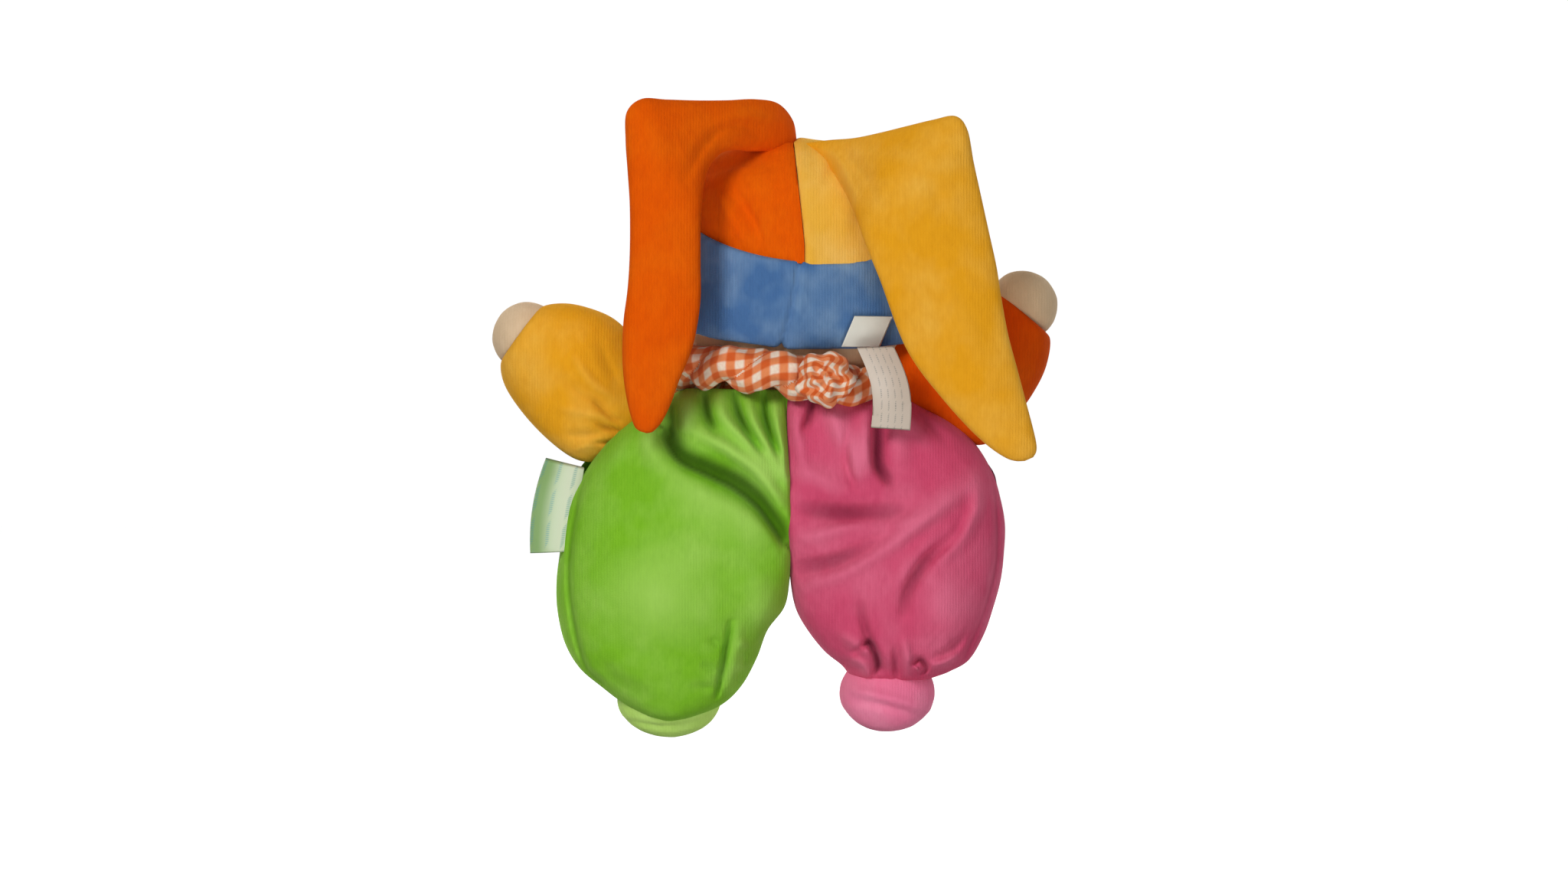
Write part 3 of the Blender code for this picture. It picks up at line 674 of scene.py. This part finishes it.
# %% The head and its crown
def head_swell(p):
    jaw = 4.0 * np.exp(-(((p[:, 2] - 114) / 8) ** 2)) * (p[:, 1] < 4)
    return jaw + 0.5 * soft_noise(p, 22, 31) + 0.12 * soft_noise(p, 5, 32), 0


head = shell("head_ball", HEAD_RADII, BEIGE, [], head_swell, 0)
dress(head, ["head_skin"], body="head")
print("the head is", *(2 * HEAD_RADII), "mm across, deep and tall before it is squared off")

# %% The two crown panels
SEAM_X = 3.0
crown_creases = folded([
    ([(-21, 192), (-18, 180), (-15, 166)], (2.2, 3.2), -2.6, 0.4),
    ([(-27, 192), (-25, 180), (-21, 168)], (4, 3), 1.8, 0.4), ([(-38, 172), (-24, 166), (-6, 161)], 3, -1.2),
    ([(20, 216), (17, 206), (13, 196)], 2, -2.4), ([(26, 206), (25, 190), (24, 176)], 4, 1.6),
    ([(-6, 206), (-18, 204), (-32, 198)], 3, -2), ([(-4, 198), (-12, 190), (-10, 176)], 5, 1.4),
])


def crown_swell(p):
    from_seam = np.abs(p[:, 0] - SEAM_X)
    push = -groove(from_seam, 1.3, 1.2) + groove(from_seam, 6, 0.9)
    push += crown_creases(p[:, 0], p[:, 2]) * (p[:, 1] < 0)
    push += 0.6 * soft_noise(p, 16, 33) + 0.14 * soft_noise(p, 4, 34)
    bow = 4.5 * np.clip((212 - p[:, 2]) / 45, 0, 1) * np.exp(-((from_seam / 26) ** 2))
    return push, bow


for name, side, cloth, slot in (("crown_orange", 1, ORANGE, "velour_orange"),
                                ("crown_yellow", -1, PALE_YELLOW, "velour_yellow")):
    seam_cut = (Vector((SEAM_X - side * 0.1, 0, 0)), Vector((side, 0, 0)))
    foot_cut = (BAND_TOP - BAND_NORMAL * 2, -BAND_NORMAL)
    crown = shell(name, CROWN_RADII, cloth, [seam_cut, foot_cut], crown_swell, 1.6)
    dress(crown, ["hat_" + name], body="head")


# %% The blue band, with its back seam
def band_swell(p):
    normal = np.array(BAND_NORMAL)
    from_top = (np.array(BAND_TOP) - p) @ normal
    from_foot = (p - np.array(BAND_FOOT)) @ normal
    seam_x = -1 + (p[:, 2] - 118) * 0.15
    nearest = np.clip(np.minimum(from_top, from_foot), 0, None)
    push = 0.9 * np.clip(nearest / 20, 0, 1) - edge_roll(nearest, 3.2)
    push -= (groove(p[:, 0] - seam_x, 0.9, 3.2) - groove(p[:, 0] - seam_x, 5, 0.8)) * (p[:, 1] < 0)
    return push + 0.7 * soft_noise(p, 14, 35) + 0.14 * soft_noise(p, 4, 36), 0


band_cuts = [(BAND_TOP, BAND_NORMAL), (BAND_FOOT, -BAND_NORMAL)]
band = shell("band_blue", BAND_RADII, BLUE, band_cuts, band_swell, 2.4)
dress(band, ["hat_band"], body="head")

# %% [markdown]
# ## The two long points
# Each point of the hat is a flat stuffed tube that runs from the crown, turns over its own fold and hangs
# down behind the head. It is one piece, because the cloth has no seam at the fold. The orange one arches
# clear of the crown, which leaves a hollow under it.

# %% Orange point
ORANGE_POINT_ROWS = [
    (4, 217, 3, 209, -4, 4, 4), (2, 227, -3, 209, -10, 6, 6), (-5, 234.5, -11, 211.5, -17, 8, 8),
    (-16, 236, -19, 211.5, -24, 9, 9), (-29, 235, -26, 211.5, -31, 9.5, 9),
    (-43, 234.5, -32, 209.5, -37, 9.5, 9), (-57, 234.5, -37, 203, -43, 9, 9),
    (-68.5, 234.5, -39.5, 194, -48, 8.5, 8), (-75.5, 228, -40.5, 184, -51, 8, 7.5),
    (-76, 215, -41, 174, -52, 8, 7.5), (-75, 200, -41, 165, -52.5, 7.5, 7.5),
    (-74, 184, -41, 156, -53, 7.5, 7.5), (-74, 163, -41, 141, -53, 7.5, 7.5),
    (-75, 146, -43, 126, -53, 7.5, 7), (-77, 130, -46, 115, -53, 7.5, 7), (-77.5, 114, -51, 103, -52.5, 7, 7),
    (-76.5, 101, -55, 92, -52, 6.5, 6.5), (-74.5, 90, -59, 84, -51.5, 5.5, 5.5),
    (-72, 82, -63, 79.5, -51, 4, 4), (-69.5, 79.5, -66, 78.5, -51, 2.2, 2.2),
]
orange_folds = folded([
    ([(-4, 226), (-20, 228), (-34, 222)], (3, 4), 1.4),
    ([(-12, 219), (-28, 222), (-40, 212), (-48, 196)], (2.4, 3), -1.6),
    ([(-66, 226), (-60, 210), (-58, 190)], 5, 1), ([(-46, 124), (-56, 118), (-70, 118)], 4, -0.8),
    ([(-52, 150), (-60, 140), (-62, 120)], 6, 0.8),
])
point = puffed("orange_hat_point", ORANGE_POINT_ROWS, ORANGE, 220, 130, back=orange_folds,
               full=(0.7, 0.7), seed=23, lumps=0.9)
dress(point, ["orange_point_foot", "orange_point"])

# %% Yellow point
YELLOW_POINT_ROWS = [
    (7, 216, 11, 211, -12, 4, 4), (19, 217, 17, 206, -20, 6, 6), (31, 217.5, 22, 199, -28, 8, 7),
    (43, 219.5, 26, 192, -36, 9, 8), (55, 222, 29, 185, -44, 9.5, 8), (67, 224.5, 32, 177, -51, 9, 8),
    (77.5, 226, 35, 168, -55, 8.5, 7.5), (83, 219.5, 39, 158, -57, 8, 7), (86, 204, 43, 148, -57.5, 7.5, 7),
    (89.5, 188, 46.5, 138, -57.5, 7.5, 7), (93, 172, 50.5, 127, -57.5, 7.5, 7),
    (96.5, 156, 55, 117, -57.5, 7.5, 6.5), (99, 140, 61, 107.5, -57.5, 7.5, 6.5),
    (102, 124, 68.5, 98, -57.5, 7, 6.5), (106, 109, 77, 88, -57.3, 7, 6), (110, 94, 86, 78.5, -57, 6.5, 6),
    (113.2, 82, 94, 71.5, -57, 5.5, 5.5), (115, 74, 101, 67, -57, 4.2, 4.2),
    (115, 70, 105.5, 65.6, -57, 3, 3), (113.6, 67.4, 109.5, 65.6, -57, 1.6, 1.6),
]
yellow_folds = folded([
    ([(14, 213), (22, 208), (28, 196), (32, 184)], (2.2, 3), 1.5),
    ([(24, 212), (34, 202), (40, 188)], 3, -1.2), ([(52, 208), (66, 203), (80, 206)], 5, 0.9),
    ([(62, 198), (68, 190), (72, 178)], 3, -0.7), ([(70, 150), (80, 130), (92, 108)], 7, 1),
    ([(52, 130), (62, 126), (72, 128)], 4, -0.7),
])
point = puffed("yellow_hat_point", YELLOW_POINT_ROWS, YELLOW, 220, 170, back=yellow_folds,
               full=(0.7, 0.7), seed=29, lumps=0.9)
dress(point, ["yellow_point_foot", "yellow_point"])

# %% [markdown]
# ## Check cloth
# The neckerchief is a thin cotton gingham: white threads and orange threads cross, so a check is orange
# where both are orange, salmon where one is, and white where neither is. The stripes follow the cloth and
# not space, so each mesh carries two attributes, the position across and along the cloth, in millimetres.


# %% Gingham and the plainer cloths
def stripes(r, position, period, share=0.5, soft=0.06):
    """1 on a stripe and 0 between: a soft-edged comb along `position`."""
    turned = r.math("FRACT", r.math("DIVIDE", position, period))
    middle = r.math("ABSOLUTE", r.math("SUBTRACT", turned, 0.5))
    return r.ramp(middle, share / 2 + soft, share / 2 - soft)


def gingham(name, check):
    r = Recipe(name)
    across, along = r.attribute("across"), r.attribute("along")
    warp, weft = stripes(r, across, 2 * check), stripes(r, along, 2 * check)
    white, salmon, orange = tone(236, 220, 200), tone(226, 136, 84), tone(206, 86, 26)
    cloth = r.mix(weft, r.mix(warp, white, salmon), r.mix(warp, salmon, orange))
    slub = r.ramp(r.noise(r.coords(), 700, 3), 0.3, 0.7)
    cloth = r.mix(r.math("MULTIPLY", slub, 0.22), cloth, tone(196, 96, 48))
    threads = r.math("ADD", stripes(r, across, 0.42, 0.5, 0.3), stripes(r, along, 0.42, 0.5, 0.3))
    r.bump(threads, 0.4, 0.2 * MM)
    return r.finish(cloth, Roughness=0.85, Specular_IOR_Level=0.2, Sheen_Weight=0.1)


def plain_cloth(name, colour, shade, weave=0.5, sheen=0.1, rough=0.85, bump_size=0.2 * MM):
    """A plain woven or fibrous cloth in two tones. A smaller `weave` is a finer one."""
    r = Recipe(name)
    coords = r.coords()
    mottled = r.ramp(r.noise(coords, 160, 4, 0.7), 0.35, 0.7)
    waves = [r.wave(coords, direction, Scale=160 / weave, Distortion=0.8) for direction in ("X", "Z")]
    r.bump(r.math("ADD", *waves), 0.4, bump_size)
    return r.finish(r.mix(mottled, colour, shade), Roughness=rough, Sheen_Weight=sheen)


GINGHAM = gingham("gingham_cotton", 3.4)
LINING = plain_cloth("pocket_lining_cotton", tone(226, 220, 205), tone(206, 198, 180))
FILLING = plain_cloth("fibre_filling", tone(240, 238, 232), tone(222, 218, 210), weave=3, bump_size=MM)
THREAD = plain_cloth("gathering_thread", tone(210, 200, 180), tone(180, 168, 146), weave=0.3)
DARK_STITCH = plain_cloth("dark_embroidery", tone(46, 30, 22), tone(66, 44, 32), weave=0.35, sheen=0.0,
                          rough=0.5)
RED_STITCH = plain_cloth("red_embroidery", tone(176, 48, 44), tone(198, 74, 66), weave=0.35, sheen=0.3,
                         rough=0.5)
print("cloths:", [m.name for m in (GINGHAM, LINING, FILLING, THREAD, DARK_STITCH, RED_STITCH)])

# %% [markdown]
# ## Neckerchief
# The neckerchief is rolled and twisted all the way round the neck. A torus made by spinning a circle has a
# place along the neck and a place round the roll for every point. The roll's section has two lobes, and
# they turn steadily along it, as two strands of a rope do. The knot at the back is a flat rosette.


# %% The twisted roll
def spun_ring(ring, thick, segments, steps):
    """A torus of radius `ring` and section radius `thick`, round the z axis."""
    bm = bmesh.new()
    section = Matrix.Translation((ring, 0, 0)) @ Matrix.Rotation(math.pi / 2, 4, "X")
    bmesh.ops.create_circle(bm, segments=segments, radius=thick, matrix=section)
    bmesh.ops.spin(bm, geom=bm.verts[:] + bm.edges[:], cent=(0, 0, 0), axis=(0, 0, 1), angle=math.tau,
                   steps=steps, use_merge=True)
    bmesh.ops.remove_doubles(bm, verts=bm.verts, dist=0.0001)
    return bm


RING = 4
NECK_X = -4
NECK_WIDE, NECK_DEEP = 46, 33
TURNS = 6


def twisted_roll():
    bm = spun_ring(RING, 1, 56, 420)
    co = np.array([v.co for v in bm.verts])
    turn = np.arctan2(co[:, 1], co[:, 0])
    section = np.arctan2(co[:, 2], np.hypot(co[:, 0], co[:, 1]) - RING)
    twist = turn * TURNS + 0.5
    lobes = np.abs(np.cos(section - twist)) ** 0.8
    pleats = 0.35 * np.cos(5 * section + 2 * twist) + 0.25 * np.cos(9 * section - twist)
    slack = np.array([noise.noise(Vector((math.cos(t) * 6, math.sin(t) * 6, 3))) for t in turn])
    radius = 7.4 + 3.4 * lobes + pleats * 0.9 + slack
    middle = np.stack([NECK_X + NECK_WIDE * np.cos(turn), NECK_DEEP * np.sin(turn)], 1)
    outward = np.stack([np.cos(turn) / NECK_WIDE, np.sin(turn) / NECK_DEEP], 1)
    outward /= np.hypot(outward[:, 0], outward[:, 1])[:, None]
    height = 102.4 - 0.14 * middle[:, 0] - 0.12 * middle[:, 1] + 1.2 * np.cos(2 * twist)
    push = radius * np.cos(section)
    for v, m, o, p, z in zip(bm.verts, middle, outward, push, height + radius * np.sin(section)):
        v.co = Vector((m[0] + o[0] * p, m[1] + o[1] * p, z)) * MM
    obj = finish_mesh("neckerchief_twist", bm, GINGHAM)
    strand = np.sign(np.cos(section - twist))
    add_attributes(obj, across=8.5 * section - 3.2 * twist + 2.4 * strand, along=turn * 42)
    return obj


dress(twisted_roll(), ["neckerchief_roll"], body="torso")


# %% The rosette knot
KNOT_CENTRE = Vector((17, -43.4, 104))
KNOT_RADII = (13.6, 7.2, 12.8)


def rosette():
    bm = bmesh.new()
    facing_back = Matrix.Rotation(math.pi / 2, 4, "X")
    bmesh.ops.create_uvsphere(bm, u_segments=120, v_segments=80, radius=1, matrix=facing_back)
    co = np.array([v.co for v in bm.verts])
    angle = np.arctan2(co[:, 2], co[:, 0])
    away = np.hypot(co[:, 0], co[:, 2])
    petals = np.cos(3 * angle + 7 * away) * np.clip(away * 2.2, 0, 1) * np.clip((1.05 - away) * 5, 0, 1)
    lift = 1.0 + 0.26 * petals + 0.021 * np.cos(7 * angle - 4 * away)
    rim = 1 + 0.07 * np.cos(5 * angle + 1) + 0.04 * np.cos(9 * angle)
    rx, ry, rz = KNOT_RADII
    for v, p, up, wide in zip(bm.verts, co, lift, rim):
        v.co = (KNOT_CENTRE + Vector((p[0] * rx * wide, p[1] * ry * up, p[2] * rz * wide))) * MM
    obj = finish_mesh("neckerchief_rosette", bm, GINGHAM)
    turned = angle + 1.3 * (1 - away)
    add_attributes(obj, across=away * np.cos(turned) * 15 + 3 * petals + 40,
                   along=away * np.sin(turned) * 15 + 40)
    return obj


dress(rosette(), ["neckerchief_knot"], body="torso")

# %% [markdown]
# ## Flat cloths
# The neckerchief's triangle, and the labels, are sheets: a grid bent to where it lies, and given the cloth's
# thickness. Positions across and along the cloth are kept as attributes for the pattern.


# %% A bent strip of cloth
def strip(name, width, length, material, place, thick=0.5, cuts=(24, 40)):
    """`place` takes u from -1 to 1 across, and t from 0 to 1 along, and gives a point in millimetres."""
    bm = bmesh.new()
    bmesh.ops.create_grid(bm, x_segments=cuts[0], y_segments=cuts[1], size=1)
    u = np.array([v.co.x for v in bm.verts])
    t = np.array([(v.co.y + 1) / 2 for v in bm.verts])
    for v, a, b in zip(bm.verts, u, t):
        v.co = Vector(place(a, b)) * MM
    bmesh.ops.solidify(bm, geom=bm.faces[:], thickness=thick * MM)
    obj = finish_mesh(name, bm, material)
    count = len(obj.data.vertices)
    add_attributes(obj, across=np.resize(u, count) * width / 2, along=np.resize(t, count) * length)
    return obj


def triangle_place(u, t):
    wide = 30 * (1 - t) + 0.8
    x = u * wide
    ripple = 1.6 * math.sin(u * 7 + t * 2) * t
    return x, 36.5 + 3.2 * math.sin(t * 2.2) - 0.004 * x * x + ripple * 0.6, 88 - 31 * t + 0.0016 * x * x


triangle = strip("neckerchief_front", 60, 31, GINGHAM, triangle_place, thick=0.8, cuts=(48, 32))
for point, across in zip(triangle.data.vertices, triangle.data.attributes["across"].data):
    across.value = point.co.x / MM
dress(triangle, ["neckerchief_triangle"], body="torso")

# %% [markdown]
# ## Labels
# The care label is a narrow satin tape, sewn to the foot of the band, and it hangs and curls over the
# scarf. The band carries a short square label, and the side seam a wider ribbon folded double, pale green
# at its outer end. All lettering is left out: thin broken rules stand where print would be.


# %% Satin tape with printed rules
def satin(name, white, far, marks=True, fade=None, rule=(3.2, 5.5), reach=6.6, ink_tone=(110, 112, 108)):
    """Tape that is `white`, or turns to `far` over the distances in `fade`, with rules along it. `rule` is
    the spacing of the rules and of their breaks, and `reach` is how far from the middle they go."""
    r = Recipe(name)
    across, along = r.attribute("across"), r.attribute("along")
    colour = white
    if fade:
        colour = r.mix(r.ramp(along, *fade), white, far)
        across, along = along, across
    if marks:
        lines = stripes(r, across, rule[0], 0.20, 0.05)
        breaks = stripes(r, r.math("ADD", along, r.math("MULTIPLY", across, 1.7)), rule[1], 0.72, 0.04)
        specks = stripes(r, along, 0.9, 0.62, 0.10)
        inside = r.math("LESS_THAN", r.math("ABSOLUTE", across), reach)
        ink = r.math("MULTIPLY", r.math("MULTIPLY", lines, breaks), r.math("MULTIPLY", specks, inside))
        colour = r.mix(r.math("MULTIPLY", ink, 0.62), colour, tone(*ink_tone))
    else:
        soft = r.ramp(r.noise(r.coords(), 90, 3), 0.4, 0.7)
        colour = r.mix(r.math("MULTIPLY", soft, 0.4), colour, far)
    r.bump(stripes(r, across, 0.35, 0.5, 0.3), 0.25, 0.1 * MM)
    return r.finish(colour, Roughness=0.42, Anisotropic=0.5)


CARE_SATIN = satin("care_label_satin", tone(192, 178, 162), tone(200, 190, 174))
SIDE_SATIN = satin("side_label_satin", tone(206, 214, 188), tone(142, 178, 112), fade=(5, 16),
                   rule=(7.6, 14), reach=21, ink_tone=(96, 156, 150))
BAND_SATIN = satin("band_label_satin", tone(214, 214, 202), tone(196, 198, 186), marks=False)
print("satins:", [m.name for m in (CARE_SATIN, SIDE_SATIN, BAND_SATIN)])


# %% Care label
def care_place(u, t):
    top, foot = Vector((41.6, -39.5, 119)), Vector((48.6, -46.5, 81))
    across = Vector((1, 0, 0.03 - 0.10 * t)).normalized()
    half = 8.6 + 0.6 * t
    curl = -3.4 * math.sin(t * 2.6) + 2.4 * t * t
    curl += 1.3 * u * u * (0.3 + t) - 0.8 * math.sin(u * 2.2 + t * 3) * t
    bend = 3.4 * math.sin(math.pi * t) - 1.0
    return top + (foot - top) * t + across * (u * half) + Vector((bend, curl - 1.5, 0))


care = strip("care_label_tape", 18, 38, CARE_SATIN, care_place)
dress(care, ["care_label"], body="care_label")


# %% Side ribbon
def side_place(u, t):
    inner = Vector((-100.5, -12.5 + 2.0 * u, 44)) + Vector((3.6 * u, 0, 19.5 * u))
    reach = 18.5 + 2.5 * (1 - u * u)
    slump = -3.4 * math.sin(t * 2.6) * (1 - 0.3 * u)
    return inner + Vector((-reach * t, slump + 7.0 * t * t, 4.5 * t * (0.4 + 0.6 * u) - 1.0))


side = strip("side_label_ribbon", 40, 20, SIDE_SATIN, side_place, thick=0.9)
dress(side, ["side_label"])


# %% Band label
def band_label_place(u, t):
    x = 36.8 + u * 9.0 + (t - 0.5) * 6
    z = 119.5 + t * 14
    lifted = BAND_RADII + 1.6
    wide = squared((HEAD_CENTRE.x + 1, 0, z))[0] - HEAD_CENTRE.x
    dx, dz = (x - HEAD_CENTRE.x) / wide / lifted[0], (z - HEAD_CENTRE.z) / lifted[2]
    y = -lifted[1] * math.sqrt(max(1 - dx * dx - dz * dz, 0.02))
    return x, squared((x, y, z))[1] - 0.9 + 0.5 * u, z


patch = strip("band_label_patch", 18, 16, BAND_SATIN, band_label_place, thick=0.5)
dress(patch, ["band_label"], body="head")

# %% [markdown]
# ## The face
# The face looks forward, towards +Y. It is a plain doll's face: two round embroidered eyes, a small stuffed
# button nose and a short curved mouth, each set on the head's surface and turned outwards.

# %% Eyes, nose and mouth
def on_head(x, z, lift=0.0):
    dx, dz = (x - HEAD_CENTRE.x) / HEAD_RADII[0], (z - HEAD_CENTRE.z) / HEAD_RADII[2]
    y = HEAD_RADII[1] * math.sqrt(max(1 - dx * dx - dz * dz, 0))
    out = Vector((dx / HEAD_RADII[0], y / HEAD_RADII[1] ** 2, dz / HEAD_RADII[2])).normalized()
    return Vector(squared((x, y, z))) + out * lift, out


def feature(name, node, x, z, radii, material, lift):
    place, out = on_head(x, z, lift)
    bm = bmesh.new()
    turn = Vector((0, 0, 1)).rotation_difference(out).to_matrix().to_4x4()
    bmesh.ops.create_uvsphere(bm, u_segments=48, v_segments=28, radius=1)
    bmesh.ops.scale(bm, verts=bm.verts, vec=radii)
    bmesh.ops.transform(bm, verts=bm.verts, matrix=Matrix.Translation(place) @ turn)
    bmesh.ops.scale(bm, verts=bm.verts, vec=(MM, MM, MM))
    dress(finish_mesh(name, bm, material), [node], body="head")


for eye, x in (("left_eye", -9), ("right_eye", 17)):
    feature(eye + "_stitch", eye, x, 142, (3.2, 3.8, 1.2), DARK_STITCH, 0.6)
feature("button_nose", "nose", 4, 135, (4.4, 4.0, 3.2), RED_STITCH, 1.4)


def mouth():
    bm = drum(20, 32)
    for v in bm.verts:
        along = v.co.z * 2
        place, out = on_head(4 + 7.5 * along, 126.4 + 2.2 * along * along, 0.7)
        side = out.cross(Vector((1, 0, 0))).normalized()
        taper = math.sqrt(max(1 - along * along, 0.02)) * 0.9
        v.co = (place + side * (v.co.x * taper) + out * (v.co.y * taper)) * MM
    dress(finish_mesh("mouth_stitch", bm, RED_STITCH), ["mouth"], body="head")


mouth()

# %% [markdown]
# ## What lies inside
# Gathering threads draw in the cuffs and ankles, and each is a thin ring. Loose padding fills the body
# beside the pocket. The stuffing, the pocket's lining and the neck keep their plain shapes, since those
# are right, and take a material of their own.

# %% Gathering threads: body, centre, tilt and radii
THREAD_RADIUS = 0.4
for node, body, centre, tilt, (wide, deep) in (
    ("yellow_cuff_thread", "yellow_arm", (-125.5, 0, 124), -50, (14.6, 14.6)),
    ("orange_cuff_thread", "orange_arm", (110.5, 0, 134.5), 50, (14.6, 14.6)),
    ("green_ankle_thread", "green_leg", (-56, 0, -43), 0, (21, 17)),
    ("pink_ankle_thread", "pink_leg", (48, 0, -35), 0, (17.5, 14.5)),
):
    bm = spun_ring(1, THREAD_RADIUS / wide, 10, 96)
    bmesh.ops.scale(bm, verts=bm.verts, vec=(wide * MM, deep * MM, wide * MM))
    bmesh.ops.rotate(bm, verts=bm.verts, matrix=Matrix.Rotation(math.radians(tilt), 3, "Y"))
    bmesh.ops.translate(bm, verts=bm.verts, vec=Vector(centre) * MM)
    dress(finish_mesh(node + "_ring", bm, THREAD), [node], body=body)

# %% Loose padding beside the pocket
for side, name in ((-1, "left"), (1, "right")):
    fluff = stuffed_ball("side_padding_" + name, (side * 66, 0, 64), (23, 17, 16), FILLING, seed=40,
                         lumps=1.6)
    dress(fluff, ["body_padding_" + name], body="torso")

# %% Materials for the pieces that stay
FILLED = ("head", "green_leg", "pink_leg", "green_foot", "pink_foot")
INSIDE = {"neck_plug": BEIGE, "pocket_lining": LINING, **{name + "_stuffing": FILLING for name in FILLED}}
for name, material in INSIDE.items():
    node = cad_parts[name]
    node.data.materials.clear()
    node.data.materials.append(material)
print("with a cloth of their own:", ", ".join(INSIDE))

# %% The two boxes, and the end
fitted_low, fitted_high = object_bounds()
grown = zip((*fitted_low, *fitted_high), (*cad_low, *cad_high))
print("growth, mm:", [round((a - b) / MM, 1) for a, b in grown])
